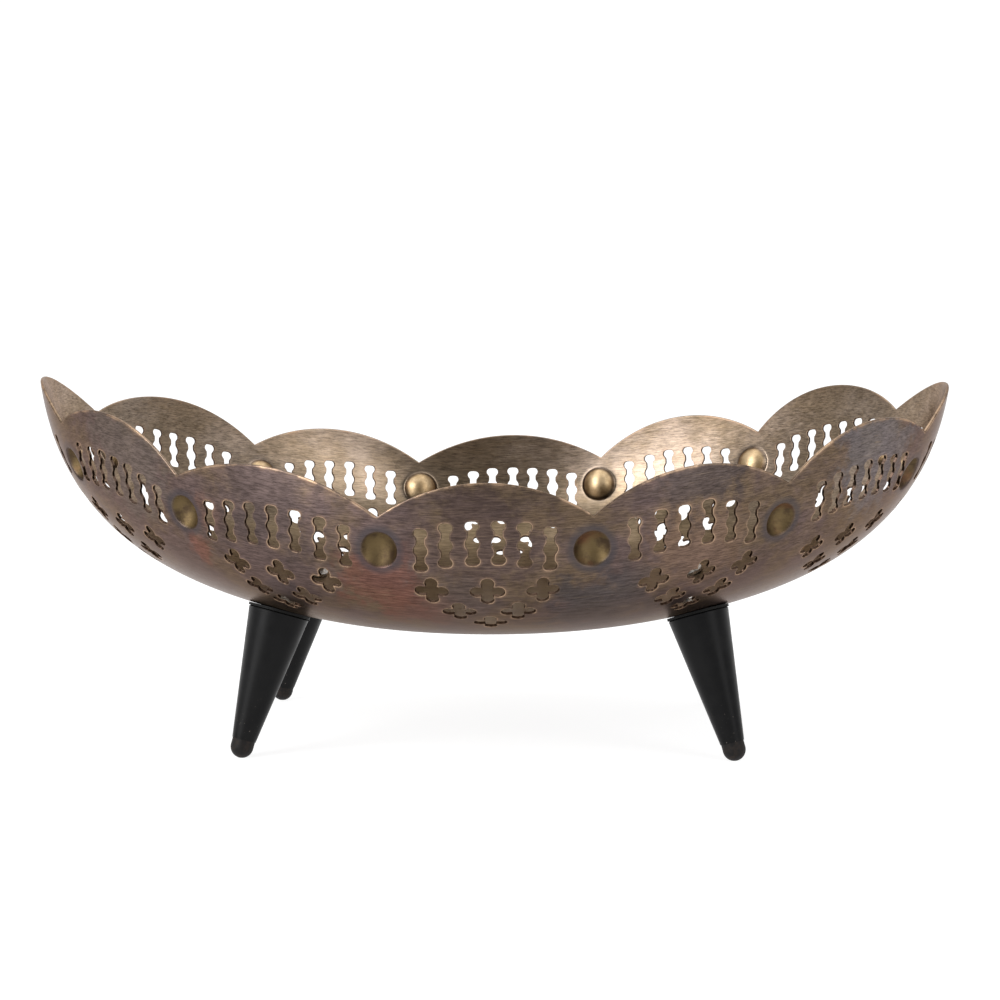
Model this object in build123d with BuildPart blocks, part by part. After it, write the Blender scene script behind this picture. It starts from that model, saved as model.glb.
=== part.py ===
from build123d import *
from bisect import bisect_left
from math import atan2, cos, hypot, pi, radians, sin
import os

# ---------------------------------------------------------------- driving dimensions, millimetres
# Bowl: an oval pressed sheet. +X is its long direction, -Y its front, and the feet stand at Z = 0.
half_length = 150.0        # middle to the wall at either end
half_width = 110.0         # middle to the wall at front and back
plan_pinch = 0.06          # how far the oval is drawn in between its ends and its sides
foot_gap = 38.0            # floor to the underside of the bowl
end_height = 105.0         # height at which the curved wall turns upright, at the ends
side_height = 53.0         # the same at front and back
end_power = 2.75           # roundness of the wall curve: 2 is an ellipse, more is squarer
side_power = 3.25
sheet = 1.0                # thickness of the sheet
wall_spare = 25.0          # upright wall above the curve, cut away by the scalloped rim

# Rim: one row per lobe, anticlockwise from the right end, cut by hand and so a little uneven:
# angle of the notch that ends the lobe, height of that notch above the bowl's underside,
# and rise of the lobe above the line between its two notches.
lobes = [
    (19.0, 66.0, 12.5),
    (49.0, 55.5, 12.5),
    (76.0, 44.0, 10.5),
    (102.5, 42.0, 9.0),
    (130.0, 50.5, 9.0),
    (163.0, 65.0, 11.0),
    (199.0, 66.0, 13.5),
    (228.5, 53.0, 11.0),
    (258.5, 43.5, 9.0),
    (283.0, 44.0, 10.0),
    (311.0, 51.0, 10.5),
    (343.0, 63.0, 11.5),
]

# Pattern punched in each lobe, measured from the middle of the line between its two bosses:
# number of slots, their pitch, how far the row sits to the left, how far up its middle is and its tilt,
# then for the flowers how far they sit to the left, how much of that is added per millimetre down
# the sheet, and the stretch of their rows down the sheet.
patterns = [
    (7, 7.4, 0.0, 4.5, 0.0, 0.0, 0.0, 1.0),
    (7, 6.9, -1.2, 5.2, -0.11, -3.5, -0.25, 1.1),
    (6, 7.8, 1.0, 2.9, 0.0, -2.0, -0.1, 1.0),
    (7, 7.45, -0.85, 0.0, 0.0, 0.0, 0.0, 1.0),
    (6, 8.0, -1.85, 1.4, 0.0, 2.0, 0.2, 1.0),
    (7, 7.5, 2.3, 4.8, 0.08, 3.5, 0.3, 1.1),
    (7, 7.4, 0.0, 4.5, 0.0, 0.0, 0.0, 1.0),
    (7, 6.85, -1.2, 3.8, -0.08, -7.5, -0.4, 1.15),
    (7, 7.95, 1.75, 1.7, 0.0, 1.7, -0.33, 1.0),
    (6, 7.6, 0.0, 2.2, 0.0, 0.3, 0.03, 1.0),
    (6, 8.0, -0.75, 3.6, 0.0, 3.9, 0.1, 1.0),
    (7, 6.8, 3.4, 5.2, 0.0, 3.3, 0.25, 1.1),
]

# Pressed bosses, one under each notch
boss_radius = 5.5          # footprint on the outside
boss_depth = 3.9
boss_drop = 12.2           # notch to boss along the wall
boss_drop_swing = 2.4      # added at the ends, taken off at front and back

# Piercings
slot_arch = 5.0            # the row of slots is bowed up this much in the middle of a lobe
slot_bulge_radius = 2.05
slot_end_width = 4.1       # the two ends of a slot are flattened
slot_end_height = 2.7
slot_end_place = 5.2       # middle of the slot to the middle of an end
slot_neck = 2.3
flower_rows = [(14.2, 3, 16.4), (24.2, 2, 17.8), (32.0, 1, 0.0)]   # drop, flowers and pitch of the rows
petal_radius = 1.9
petal_reach = 3.1
flower_heart = 2.4
punch_depth = 8.0

# Legs: turned pegs square to the bowl, each on a thin pad, held by a screw from inside
leg_angle = 42.8           # direction of each leg's seat from the long axis
leg_seat_height = 7.7      # of the seat above the bowl's underside
leg_top_radius = 9.6
leg_end_radius = 3.8
leg_top_break = 0.4
pad_radius = 9.9
pad_thickness = 0.8
tip_radius = 3.6
tip_collar = 2.2           # straight part of the tip below the leg
tip_wear = 0.15            # height worn flat where the tip stands
tip_stem_radius = 1.4
tip_stem = 6.0
screw_radius = 2.0
screw_clearance = 0.15
screw_length = 20.0
screw_head_radius = 4.0
screw_head_height = 2.6
screw_slot_width = 1.2
screw_slot_length = 10.0   # the cutter runs past both sides of the head
screw_slot_depth = 1.3
screw_hole_spare = 1.0     # left empty below the screw's end
washer_radius = 5.5
washer_thickness = 1.0
washer_lift = 0.35         # a flat washer bridges the hollow of the bowl by this much

meridian_steps = 160
patch_points = 33
patch_tolerance = 0.05
tiny_angle = 0.001
tiny_step = 0.01
pattern_steps = 12         # steps in which a pattern's flat distances are laid along the bowl


# ---------------------------------------------------------------- shape of the bowl
def wall(angle):
    """Plan point of the upright wall in one direction, with the wall curve's height and power."""
    pinch = 1 - plan_pinch * sin(2 * angle) ** 2
    endness = (1 + cos(2 * angle)) / 2
    height = side_height + (end_height - side_height) * endness
    power = side_power + (end_power - side_power) * endness
    return half_length * pinch * cos(angle), half_width * pinch * sin(angle), height, power


def meridian(angle):
    """Distances from the bottom centre, with the fraction of the way out and the height there."""
    x, y, height, power = wall(angle)
    out = hypot(x, y)
    distances, fractions, heights = [0.0], [0.0], [0.0]
    for step in range(1, meridian_steps + 1):
        turn = pi / 2 * step / meridian_steps
        fraction = sin(turn) ** (2 / power)
        rise = height * (1 - max(cos(turn), 0.0) ** (2 / power))
        length = hypot(out * (fraction - fractions[-1]), rise - heights[-1])
        distances.append(distances[-1] + length)
        fractions.append(fraction)
        heights.append(rise)
    return distances, fractions, heights


def between(value, known, wanted):
    """Straight-line reading of one column of a table against another."""
    i = min(max(bisect_left(known, value), 1), len(known) - 1)
    share = (value - known[i - 1]) / (known[i] - known[i - 1])
    return wanted[i - 1] + share * (wanted[i] - wanted[i - 1])


def on_bowl(angle, distance):
    """Point of the outer surface, a distance along the sheet from the bottom centre."""
    x, y, height, power = wall(angle)
    distances, fractions, heights = meridian(angle)
    if distance > distances[-1]:
        return Vector(x, y, foot_gap + height + distance - distances[-1])
    fraction = between(distance, distances, fractions)
    return Vector(x * fraction, y * fraction, foot_gap + between(distance, distances, heights))


def distance_at(angle, height):
    """Distance along the sheet at which it reaches a height above the underside."""
    distances, fractions, heights = meridian(angle)
    return between(height, heights, distances)


def seat(angle, distance):
    """Plane on the outer surface: z outward, y up the wall, x sideways."""
    here = on_bowl(angle, distance)
    sideways = on_bowl(angle + tiny_angle, distance) - on_bowl(angle - tiny_angle, distance)
    upward = on_bowl(angle, distance + tiny_step) - on_bowl(angle, distance - tiny_step)
    outward = sideways.cross(upward)
    return Plane(origin=here, x_dir=upward.cross(outward), z_dir=outward)


def bowl_patch():
    """One smooth sheet over a square net, with its centre at the bottom of the bowl."""
    net = []
    for i in range(patch_points):
        row = []
        for j in range(patch_points):
            u = 2 * i / (patch_points - 1) - 1
            v = 2 * j / (patch_points - 1) - 1
            angle = atan2(v, u)
            top = meridian(angle)[0][-1] + wall_spare
            row.append(on_bowl(angle, hypot(u, v) * top))
        net.append(row)
    return Face.make_surface_from_array_of_points(net, tol=patch_tolerance, min_deg=3)


# ---------------------------------------------------------------- layout of one lobe
def lobe_ends(k):
    """Angles and heights of the notches on both sides of lobe k."""
    first_angle, first_height = lobes[k - 1][:2]
    last_angle, last_height = lobes[k][:2]
    if k == 0:
        first_angle -= 360
    return radians(first_angle), first_height, radians(last_angle), last_height


def drop_below_notch(angle):
    return boss_drop + boss_drop_swing * cos(2 * angle)


def boss_line(k, angle):
    """Distance along the sheet to the line between the two bosses of lobe k."""
    first_angle, first_height, last_angle, last_height = lobe_ends(k)
    share = (angle - first_angle) / (last_angle - first_angle)
    height = first_height + share * (last_height - first_height)
    return distance_at(angle, height) - drop_below_notch(angle)


def lobe_seat(k, across, up):
    """Plane on the sheet at a place of lobe k's flat pattern, x along its line of bosses."""
    first_angle, _, last_angle, _ = lobe_ends(k)
    angle = (first_angle + last_angle) / 2
    distance = boss_line(k, angle)
    before, after = angle - tiny_angle, angle + tiny_angle
    along = on_bowl(after, boss_line(k, after)) - on_bowl(before, boss_line(k, before))
    for _ in range(pattern_steps):
        here = seat(angle, distance)
        frame = Plane(origin=here.origin, x_dir=here.z_dir.cross(along).cross(here.z_dir), z_dir=here.z_dir)
        along = frame.x_dir
        move = (frame.x_dir * across + frame.y_dir * up) / pattern_steps
        ahead = on_bowl(angle + tiny_angle, distance) - on_bowl(angle - tiny_angle, distance)
        rate = ahead / (2 * tiny_angle)
        turn = move.dot(here.x_dir) / rate.dot(here.x_dir)
        distance += move.dot(here.y_dir) - rate.dot(here.y_dir) * turn
        angle += turn
    here = seat(angle, distance)
    return Plane(origin=here.origin, x_dir=here.z_dir.cross(along).cross(here.z_dir), z_dir=here.z_dir)


# ---------------------------------------------------------------- punches for the sheet
with BuildPart() as slot_punch:
    with BuildSketch():
        Circle(slot_bulge_radius)
        with GridLocations(0, 2 * slot_end_place, 1, 2):
            SlotOverall(slot_end_width, slot_end_height)
        Rectangle(slot_neck, 2 * slot_end_place)
    extrude(amount=punch_depth, both=True)

with BuildPart() as flower_punch:
    with BuildSketch():
        Circle(flower_heart)
        with PolarLocations(petal_reach, 4):
            Circle(petal_radius)
    extrude(amount=punch_depth, both=True)

with BuildPart() as screw_punch:
    with BuildSketch():
        Circle(screw_radius + screw_clearance)
    extrude(amount=punch_depth, both=True)


def rim_punch(k):
    """Everything above the round edge of lobe k, as one block through its wall."""
    block_out = 30.0
    block_in = 45.0
    block_top = 260.0
    flare = 0.5
    first_angle, first_height, last_angle, last_height = lobe_ends(k)
    middle = (first_angle + last_angle) / 2
    crest = (first_height + last_height) / 2 + lobes[k][2]
    points = []
    for angle, height in ((first_angle, first_height), (middle, crest), (last_angle, last_height)):
        points.append(on_bowl(angle, distance_at(angle, height)))
    chord = points[2] - points[0]
    face_plane = Plane(origin=points[1], x_dir=(chord.X, chord.Y, 0), z_dir=(chord.Y, -chord.X, 0))
    left, peak, right = [face_plane.to_local_coords(point) for point in points]
    spread = flare * block_top
    with BuildPart() as block:
        with BuildSketch(face_plane.offset(-block_in)):
            with BuildLine():
                ThreePointArc((left.X, left.Y), (peak.X, peak.Y), (right.X, right.Y))
                Polyline(
                    (right.X, right.Y),
                    (right.X + spread, block_top),
                    (left.X - spread, block_top),
                    (left.X, left.Y),
                )
            make_face()
        extrude(amount=block_in + block_out)
    return block.part


def leg_seat(quarter_x, quarter_y):
    angle = atan2(quarter_y * sin(radians(leg_angle)), quarter_x * cos(radians(leg_angle)))
    return seat(angle, distance_at(angle, leg_seat_height))


def sheet_punches():
    """Every slot, flower and screw hole, and the scalloped rim."""
    punches = [rim_punch(k) for k in range(len(lobes))]
    for k, (slots, pitch, shift, rise, tilt, flower_shift, lean, stretch) in enumerate(patterns):
        half = (slots + 1) / 2 * pitch
        for i in range(slots):
            across = (i - (slots - 1) / 2) * pitch
            up = rise - slot_arch * (across / half) ** 2 + tilt * across
            punches.append(lobe_seat(k, shift + across, up).location * slot_punch.part)
        for drop, flowers, flower_pitch in flower_rows:
            middle = flower_shift + lean * (drop - flower_rows[0][0])
            for i in range(flowers):
                across = middle + (i - (flowers - 1) / 2) * flower_pitch
                punches.append(lobe_seat(k, across, -drop * stretch).location * flower_punch.part)
    for quarter_x in (-1, 1):
        for quarter_y in (-1, 1):
            punches.append(leg_seat(quarter_x, quarter_y).location * screw_punch.part)
    return punches


# ---------------------------------------------------------------- bowl
def boss_seats():
    seats = []
    for angle_degrees, height, _ in lobes:
        angle = radians(angle_degrees)
        seats.append(seat(angle, distance_at(angle, height) - drop_below_notch(angle)))
    return seats


ball_radius = (boss_radius ** 2 + boss_depth ** 2) / (2 * boss_depth)
ball_lift = ball_radius - boss_depth     # centre of the ball outside the sheet
with BuildPart() as boss_dome:
    with Locations((0, 0, ball_lift)):
        Sphere(ball_radius + sheet)
    split(bisect_by=Plane.XY.offset(-sheet / 2), keep=Keep.BOTTOM)
with BuildPart() as boss_hollow:
    with Locations((0, 0, ball_lift)):
        Sphere(ball_radius)

pierced = bowl_patch().cut(*[punch.solid() for punch in sheet_punches()])
pierced_sheet = pierced.faces().sort_by(SortBy.AREA)[-1]

with BuildPart() as bowl_shell:
    thicken(pierced_sheet, amount=sheet)
    for place in boss_seats():
        add(place.location * boss_dome.part)
        add(place.location * boss_hollow.part, mode=Mode.SUBTRACT)
bowl_shell.part.label = "bowl_shell"


# ---------------------------------------------------------------- legs and what holds them
def turned(place, outline):
    """Solid turned about the leg's axis from (radius, distance outward) points."""
    half_plane = Plane(origin=place.origin, x_dir=place.x_dir, z_dir=place.x_dir.cross(place.z_dir))
    with BuildPart() as piece:
        with BuildSketch(half_plane):
            with BuildLine():
                Polyline(*outline, close=True)
            make_face()
        revolve(axis=Axis(place.origin, place.z_dir))
    return piece.part


def ball_distance(place):
    """Along the leg's axis to the centre of the ball it stands on."""
    return (place.origin.Z - tip_radius + tip_wear) / -place.z_dir.Z


def leg_end(place):
    return ball_distance(place) - tip_collar


def make_pad(place):
    hole = screw_radius + screw_clearance
    return turned(place, [(hole, 0), (pad_radius, 0), (pad_radius, pad_thickness), (hole, pad_thickness)])


def make_leg(place):
    """Tapered peg with a blind screw hole above and a blind hole for the tip below."""
    hole = screw_radius + screw_clearance
    screw_bottom = screw_length - washer_lift - washer_thickness - sheet + screw_hole_spare
    end = leg_end(place)
    stem_hole = tip_stem_radius + screw_clearance
    outline = [
        (hole, pad_thickness),
        (leg_top_radius - leg_top_break, pad_thickness),
        (leg_top_radius, pad_thickness + leg_top_break),
        (leg_end_radius, end),
        (stem_hole, end),
        (stem_hole, end - tip_stem - screw_clearance),
        (0, end - tip_stem - screw_clearance),
        (0, screw_bottom),
        (hole, screw_bottom),
    ]
    return turned(place, outline)


def make_tip(place):
    """Rounded tip with a stem, worn flat where it stands."""
    end = leg_end(place)
    half_plane = Plane(origin=place.origin, x_dir=place.x_dir, z_dir=place.x_dir.cross(place.z_dir))
    with BuildPart() as tip:
        with BuildSketch(half_plane):
            with BuildLine():
                Polyline(
                    (0, end + tip_collar + tip_radius),
                    (0, end - tip_stem),
                    (tip_stem_radius, end - tip_stem),
                    (tip_stem_radius, end),
                    (tip_radius, end),
                    (tip_radius, end + tip_collar),
                )
                RadiusArc((tip_radius, end + tip_collar), (0, end + tip_collar + tip_radius), -tip_radius)
            make_face()
        revolve(axis=Axis(place.origin, place.z_dir))
        split(bisect_by=Plane.XY, keep=Keep.TOP)
    return tip.part


def make_washer(place):
    near = -sheet - washer_lift
    far = near - washer_thickness
    hole = screw_radius + screw_clearance
    return turned(place, [(hole, near), (washer_radius, near), (washer_radius, far), (hole, far)])


def make_screw(place):
    """Slotted cheese-head screw, its head on the washer and its thread in the leg."""
    seat_level = -sheet - washer_lift - washer_thickness
    head_break = 0.4
    head_top = seat_level - screw_head_height
    outline = [
        (0, head_top),
        (screw_head_radius - head_break, head_top),
        (screw_head_radius, head_top + head_break),
        (screw_head_radius, seat_level),
        (screw_radius, seat_level),
        (screw_radius, seat_level + screw_length - head_break),
        (screw_radius - head_break, seat_level + screw_length),
        (0, seat_level + screw_length),
    ]
    with BuildPart() as screw:
        add(turned(place, outline))
        with BuildSketch(place.offset(head_top)):
            Rectangle(screw_slot_length, screw_slot_width)
        extrude(amount=screw_slot_depth, mode=Mode.SUBTRACT)
    return screw.part


os.makedirs("parts", exist_ok=True)
export_step(bowl_shell.part, "parts/bowl_shell.step")
makers = {"leg": make_leg, "pad": make_pad, "tip": make_tip, "washer": make_washer, "screw": make_screw}
for end_name, quarter_x in (("left", -1), ("right", 1)):
    for side_name, quarter_y in (("front", -1), ("back", 1)):
        place = leg_seat(quarter_x, quarter_y)
        for maker_name, maker in makers.items():
            piece = maker(place)
            piece.label = f"{maker_name}_{side_name}_{end_name}"
            export_step(piece, f"parts/{piece.label}.step")
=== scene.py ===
from math import atan2, cos, pi, radians, sin

import bpy
import numpy as np
from mathutils import Matrix, Vector, kdtree
from mathutils.geometry import delaunay_2d_cdt


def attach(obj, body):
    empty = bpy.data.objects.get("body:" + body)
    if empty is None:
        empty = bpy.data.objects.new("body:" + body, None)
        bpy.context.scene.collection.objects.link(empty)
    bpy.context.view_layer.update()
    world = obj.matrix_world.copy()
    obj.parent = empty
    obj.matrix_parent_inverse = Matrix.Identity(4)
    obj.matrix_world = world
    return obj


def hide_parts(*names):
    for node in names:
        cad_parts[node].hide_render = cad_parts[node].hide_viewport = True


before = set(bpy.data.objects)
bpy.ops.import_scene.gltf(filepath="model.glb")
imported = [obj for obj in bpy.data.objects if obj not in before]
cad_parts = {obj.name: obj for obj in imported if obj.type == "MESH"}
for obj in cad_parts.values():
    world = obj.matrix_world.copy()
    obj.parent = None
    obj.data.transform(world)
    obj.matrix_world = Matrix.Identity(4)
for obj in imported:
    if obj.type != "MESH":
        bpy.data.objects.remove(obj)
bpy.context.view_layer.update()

MM = 0.001

# ---------------------------------------------------------------- dimensions, metres, as in the CAD
HALF_LENGTH = 0.150
HALF_WIDTH = 0.110
PLAN_PINCH = 0.06
FOOT_GAP = 0.038
END_HEIGHT = 0.105
SIDE_HEIGHT = 0.053
END_POWER = 2.75
SIDE_POWER = 3.25
SHEET = 0.001

# One row per lobe: angle of the notch that ends it, height of that notch, rise
LOBES = [
    (19.0, 0.0660, 0.0125),
    (49.0, 0.0555, 0.0125),
    (76.0, 0.0440, 0.0105),
    (102.5, 0.0420, 0.0090),
    (130.0, 0.0505, 0.0090),
    (163.0, 0.0650, 0.0110),
    (199.0, 0.0660, 0.0135),
    (228.5, 0.0530, 0.0110),
    (258.5, 0.0435, 0.0090),
    (283.0, 0.0440, 0.0100),
    (311.0, 0.0510, 0.0105),
    (343.0, 0.0630, 0.0115),
]

# Pattern of each lobe: slots, their pitch, shift, rise and tilt; flowers' shift, lean and stretch
PATTERNS = [
    (7, 0.00740, 0.0, 0.0045, 0.0, 0.0, 0.0, 1.0),
    (7, 0.00690, -0.00120, 0.0052, -0.11, -0.0035, -0.25, 1.1),
    (6, 0.00780, 0.00100, 0.0029, 0.0, -0.0020, -0.1, 1.0),
    (7, 0.00745, -0.00085, 0.0, 0.0, 0.0, 0.0, 1.0),
    (6, 0.00800, -0.00185, 0.0014, 0.0, 0.0020, 0.2, 1.0),
    (7, 0.00750, 0.00230, 0.0048, 0.08, 0.0035, 0.3, 1.1),
    (7, 0.00740, 0.0, 0.0045, 0.0, 0.0, 0.0, 1.0),
    (7, 0.00685, -0.00120, 0.0038, -0.08, -0.0075, -0.4, 1.15),
    (7, 0.00795, 0.00175, 0.0017, 0.0, 0.0017, -0.33, 1.0),
    (6, 0.00760, 0.0, 0.0022, 0.0, 0.0003, 0.03, 1.0),
    (6, 0.00800, -0.00075, 0.0036, 0.0, 0.0039, 0.1, 1.0),
    (7, 0.00680, 0.00340, 0.0052, 0.0, 0.0033, 0.25, 1.1),
]
PATTERN_STEPS = 12         # steps in which flat distances are laid along the bowl
BRUSH_OVAL = 0.8           # roundness of the ovals that the brushing follows

BOSS_RADIUS = 0.0055
BOSS_DEPTH = 0.0039
BOSS_DROP = 0.0122
BOSS_DROP_SWING = 0.0024
SLOT_ARCH = 0.005
SLOT_BULGE_RADIUS = 0.00205
SLOT_END_WIDTH = 0.0041
SLOT_END_HEIGHT = 0.0027
SLOT_END_PLACE = 0.0052
SLOT_NECK = 0.0023
FLOWER_ROWS = [(0.0142, 3, 0.0164), (0.0242, 2, 0.0178), (0.0320, 1, 0.0)]
PETAL_RADIUS = 0.0019
PETAL_REACH = 0.0031
FLOWER_HEART = 0.0024
LEG_ANGLE = 42.8
LEG_SEAT_HEIGHT = 0.0077
SCREW_HOLE_RADIUS = 0.00215

# Finish of the sheet's edges
EDGE_BREAK = 0.00015
RIM_ROUND = 0.00038
SLOT_BLEND = 0.5 * MM      # rounding of the outlines' inner corners
FLOWER_BLEND = 0.35 * MM
BOSS_SOFTNESS = 0.5 * MM   # rounding of the foot of a boss
BOSS_REACH = 0.0082
BOSS_FADE_END = BOSS_REACH - 0.2 * MM
BOSS_FADE = 2 * MM

# Small errors of a hand-held punch, from hole to hole
PUNCH_SEED = 12
PUNCH_TURN = radians(1.6)
PUNCH_SIZE = 0.018
PUNCH_SHIFT = 0.12 * MM

# Fineness of the mesh: rings round the holes and along the rim, each with its share of edge wear and painted
# edge highlight
HOLE_RINGS = ((EDGE_BREAK, 1.0), (0.0005, 0.55), (0.0011, 0.10))
RIM_RINGS = ((0.0011, 0.35), (0.0022, 0.0))
RIM_STEPS = 72             # points of the rim on each lobe
SLOT_CAP_RAYS = 12
SLOT_SIDE_RAYS = 21
FLOWER_RAYS = 44
SCREW_HOLE_RAYS = 24
BOSS_RINGS_MM = (0, 0.8, 1.6, 2.4, 3.2, 3.9, 4.4, 4.8, 5.1, 5.4, 5.7, 6.0, 6.3, 6.7, 7.2, 7.9)
BOSS_PITCH_MM = 0.75
GRID = 0.0026
GRID_ROW = 0.866           # height of a grid's row, for triangles with even sides
GRID_REACH = 0.24
CLEAR_OF_RINGS = 0.0013
CLEAR_OF_BOSS_RINGS = 0.0004
TINY_ANGLE = 1e-4


# ---------------------------------------------------------------- surface of the bowl
def wall(angle):
    """Plan point of the upright wall in each direction, with the wall curve's height and power."""
    pinch = 1 - PLAN_PINCH * np.sin(2 * angle) ** 2
    endness = (1 + np.cos(2 * angle)) / 2
    height = SIDE_HEIGHT + (END_HEIGHT - SIDE_HEIGHT) * endness
    power = SIDE_POWER + (END_POWER - SIDE_POWER) * endness
    return HALF_LENGTH * pinch * np.cos(angle), HALF_WIDTH * pinch * np.sin(angle), height, power


def surface(angle, turn, extra):
    """Point of the outer surface, a turn along its meridian or extra up the wall above that."""
    x, y, height, power = wall(angle)
    out = np.sin(turn) ** (2 / power)
    rise = height * (1 - np.clip(np.cos(turn), 0, 1) ** (2 / power)) + extra
    return np.stack([x * out, y * out, FOOT_GAP + rise], axis=-1)


TURNS = np.linspace(0, pi / 2, 241)
TABLE_ANGLES = np.linspace(-pi, pi, 1441)


def distance_table():
    """Distance along the sheet from the bottom centre, by angle and turn."""
    points = surface(TABLE_ANGLES[:, None], TURNS[None, :], 0.0)
    steps = np.linalg.norm(np.diff(points, axis=1), axis=2)
    return np.concatenate([np.zeros((len(TABLE_ANGLES), 1)), np.cumsum(steps, axis=1)], axis=1)


DISTANCES = distance_table()


def distance_rows(angle):
    place = ((angle + pi) % (2 * pi)) / (2 * pi) * (len(TABLE_ANGLES) - 1)
    low = np.minimum(place.astype(int), len(TABLE_ANGLES) - 2)
    share = (place - low)[:, None]
    return DISTANCES[low] * (1 - share) + DISTANCES[low + 1] * share


def turn_at(angle, distance):
    rows = distance_rows(angle)
    high = np.clip((rows < distance[:, None]).sum(axis=1), 1, len(TURNS) - 1)
    each = np.arange(len(angle))
    below, above = rows[each, high - 1], rows[each, high]
    share = np.clip((distance - below) / (above - below), 0, 1)
    turn = TURNS[high - 1] + share * (TURNS[high] - TURNS[high - 1])
    return turn, np.maximum(distance - rows[:, -1], 0)


def on_bowl(angle, distance):
    return surface(angle, *turn_at(angle, distance))


def distance_at(angle, rise):
    """Distance along the sheet at which it reaches a height above the underside."""
    _, _, height, power = wall(angle)
    turn = np.arccos(np.clip(1 - rise / height, 0, 1) ** (power / 2))
    rows = distance_rows(angle)
    place = turn / (pi / 2) * (len(TURNS) - 1)
    low = np.minimum(place.astype(int), len(TURNS) - 2)
    each = np.arange(len(angle))
    distance = rows[each, low] + (place - low) * (rows[each, low + 1] - rows[each, low])
    return distance + np.maximum(rise - height, 0)


def unit(vectors):
    return vectors / np.maximum(np.linalg.norm(vectors, axis=-1, keepdims=True), 1e-12)


def axes(angle, distance):
    """Point of the outer surface with its sideways, upward and outward directions."""
    turn, extra = turn_at(angle, distance)
    x, y, height, power = wall(angle)
    flat = np.clip(np.cos(turn), 0, 1) ** (2 - 2 / power)
    steep = np.sin(turn) ** (2 - 2 / power)
    upward = unit(np.stack([x * flat, y * flat, height * steep], axis=-1))
    turned = surface(angle + TINY_ANGLE, turn, extra) - surface(angle - TINY_ANGLE, turn, extra)
    outward = unit(np.cross(unit(turned), upward))
    return surface(angle, turn, extra), np.cross(upward, outward), upward, outward


def dots(a, b):
    return (a * b).sum(axis=-1)


def locate(seat_angle, seat_distance, x, y, rounds=4):
    """Angles and distances of the sheet's points at flat places x, y on planes that touch it."""
    origin, sideways, upward, _ = axes(seat_angle, seat_distance)
    rate = (on_bowl(seat_angle + TINY_ANGLE, seat_distance)
            - on_bowl(seat_angle - TINY_ANGLE, seat_distance)) / (2 * TINY_ANGLE)
    across_rate, up_rate = dots(rate, sideways), dots(rate, upward)
    angle, distance = seat_angle.copy(), seat_distance.copy()
    for _ in range(rounds):
        gone = on_bowl(angle, distance) - origin
        miss_x, miss_y = x - dots(gone, sideways), y - dots(gone, upward)
        angle += miss_x / across_rate
        distance += miss_y - up_rate * miss_x / across_rate
    return angle, distance


# ---------------------------------------------------------------- layout of the lobes
def one(value):
    return np.array([float(value)])


def notch(k):
    return radians(LOBES[k][0]), LOBES[k][1]


def lobe_ends(k):
    first_angle, first_height = notch(k - 1)
    last_angle, last_height = notch(k)
    if k == 0:
        first_angle -= 2 * pi
    return first_angle, first_height, last_angle, last_height


def drop_below_notch(angle):
    return BOSS_DROP + BOSS_DROP_SWING * np.cos(2 * angle)


def boss_line(k, angle):
    """Distance along the sheet to the line between the two bosses of lobe k."""
    first_angle, first_height, last_angle, last_height = lobe_ends(k)
    share = (angle - first_angle) / (last_angle - first_angle)
    height = first_height + share * (last_height - first_height)
    return distance_at(angle, height) - drop_below_notch(angle)


def pattern_seats(k, across, up):
    """Seats on the sheet of places in lobe k's flat pattern, with the pattern's x direction there."""
    first_angle, _, last_angle, _ = lobe_ends(k)
    angle = np.full(len(across), (first_angle + last_angle) / 2)
    distance = boss_line(k, angle)
    before, after = angle - TINY_ANGLE, angle + TINY_ANGLE
    along = on_bowl(after, boss_line(k, after)) - on_bowl(before, boss_line(k, before))
    for step in range(PATTERN_STEPS + 1):
        _, sideways, upward, outward = axes(angle, distance)
        along = unit(along - dots(along, outward)[:, None] * outward)
        if step == PATTERN_STEPS:
            break
        beside = np.cross(outward, along)
        move = (along * across[:, None] + beside * up[:, None]) / PATTERN_STEPS
        ahead = on_bowl(angle + TINY_ANGLE, distance) - on_bowl(angle - TINY_ANGLE, distance)
        rate = ahead / (2 * TINY_ANGLE)
        turn = dots(move, sideways) / dots(rate, sideways)
        angle = angle + turn
        distance = distance + dots(move, upward) - dots(rate, upward) * turn
    twists = np.arctan2(dots(along, upward), dots(along, sideways))
    return list(zip(angle, distance, twists))


def boss_seat(k):
    angle, height = notch(k)
    return angle, distance_at(one(angle), height)[0] - drop_below_notch(angle)


def leg_seat(quarter_x, quarter_y):
    angle = atan2(quarter_y * sin(radians(LEG_ANGLE)), quarter_x * cos(radians(LEG_ANGLE)))
    return angle, distance_at(one(angle), LEG_SEAT_HEIGHT)[0]


# ---------------------------------------------------------------- outlines of the piercings
def smooth_union(distances, blend):
    result = distances[0]
    for other in distances[1:]:
        share = np.clip(0.5 + 0.5 * (other - result) / blend, 0, 1)
        result = other * (1 - share) + result * share - blend * share * (1 - share)
    return result


def slot_field(x, y):
    """Distance outside a slot with two flattened ends and a bulge between them, negative inside."""
    bulge = np.hypot(x, y) - SLOT_BULGE_RADIUS
    flat = (SLOT_END_WIDTH - SLOT_END_HEIGHT) / 2
    end = np.hypot(np.maximum(np.abs(x) - flat, 0), np.abs(y) - SLOT_END_PLACE) - SLOT_END_HEIGHT / 2
    neck = np.hypot(np.maximum(np.abs(x) - SLOT_NECK / 2, 0), np.maximum(np.abs(y) - SLOT_END_PLACE, 0))
    neck += np.minimum(np.abs(x) - SLOT_NECK / 2, 0)
    return smooth_union([bulge, end, neck], SLOT_BLEND)


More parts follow.
